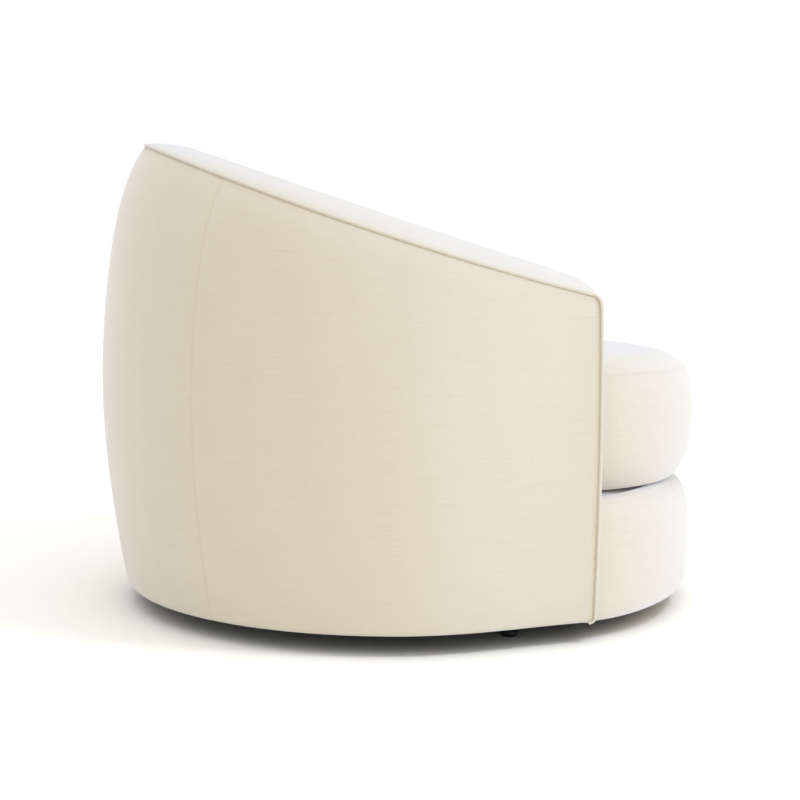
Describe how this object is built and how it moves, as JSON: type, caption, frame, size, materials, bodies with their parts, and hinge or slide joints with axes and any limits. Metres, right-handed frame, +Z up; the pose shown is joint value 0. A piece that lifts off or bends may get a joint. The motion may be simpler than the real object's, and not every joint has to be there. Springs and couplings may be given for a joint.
{
  "type": "swivel barrel chair",
  "caption": "Round upholstered lounge chair with a slanted wraparound back, a loose crowned seat cushion and a full-width rounded base front, turning on a ball-bearing swivel.",
  "frame": {"origin": "on the floor under the swivel axis, at the centre of the round plan", "axes": "+Z up along the swivel axis; the chair's front faces -Y and its back is toward +Y at rest; +X is the sitter's left"},
  "size_m": [0.9732, 0.9729, 0.7471],
  "materials": {
    "cream_fabric": "matte linen-look weave",
    "deck_cloth": "plain woven deck cloth",
    "dust_cloth": "black non-woven cloth",
    "zip_tape": "woven zip tape",
    "plywood": "raw plywood",
    "beech": "raw beech",
    "black_steel": "satin black powder coat",
    "bright_steel": "zinc-plated steel",
    "spring_steel": "drawn spring wire",
    "black_plastic": "moulded nylon",
    "bearing_nylon": "natural nylon"
  },
  "bodies": {
    "swivel_base": {"base_cross": "black_steel", "leg_end_caps": "black_plastic", "glides": "black_plastic", "hub_plate": "black_steel", "king_pin": "bright_steel", "lower_race": "bright_steel", "pin_washer": "bright_steel", "pin_nut": "bright_steel"},
    "ball_cage": {"bearing_balls": "bright_steel", "ball_cage_ring": "bearing_nylon"},
    "chair": {"upper_race": "bright_steel", "top_plate": "bright_steel", "pivot_bushing": "bearing_nylon", "plate_bolts": "bright_steel", "plate_nuts": "bright_steel", "cross_rails": "beech", "bottom_ring": "plywood", "lower_posts": "beech", "front_rail": "plywood", "seat_ring": "plywood", "upper_posts": "beech", "arm_front_boards": "plywood", "top_rail": "plywood", "zigzag_springs": "spring_steel", "spring_clips": "spring_steel", "deck_pad": "deck_cloth", "dust_cover": "dust_cloth", "base_front_pad": "cream_fabric", "outside_back": "cream_fabric", "outside_arm_left": "cream_fabric", "outside_arm_right": "cream_fabric", "inside_back": "cream_fabric", "inside_arm_left": "cream_fabric", "inside_arm_right": "cream_fabric", "border_back": "cream_fabric", "border_left": "cream_fabric", "border_right": "cream_fabric", "welt": "cream_fabric"},
    "cushion": {"seat_cushion": "cream_fabric", "cushion_zip": "zip_tape"}
  },
  "joints": [
    {"name": "swivel", "type": "hinge", "parent": "swivel_base", "child": "chair", "pos_m": [0, 0, 0.0455], "axis": [0, 0, 1], "continuous": true},
    {"name": "cage_roll", "type": "hinge", "parent": "swivel_base", "child": "ball_cage", "pos_m": [0, 0, 0.0455], "axis": [0, 0, 1], "continuous": true},
    {"name": "cushion_lift", "type": "slide", "parent": "chair", "child": "cushion", "axis": [0, 0, 1], "range_m": [0, 0.5]}
  ],
  "couplings": [
    {"joint": "cage_roll", "follows": "swivel", "ratio": 0.5}
  ]
}
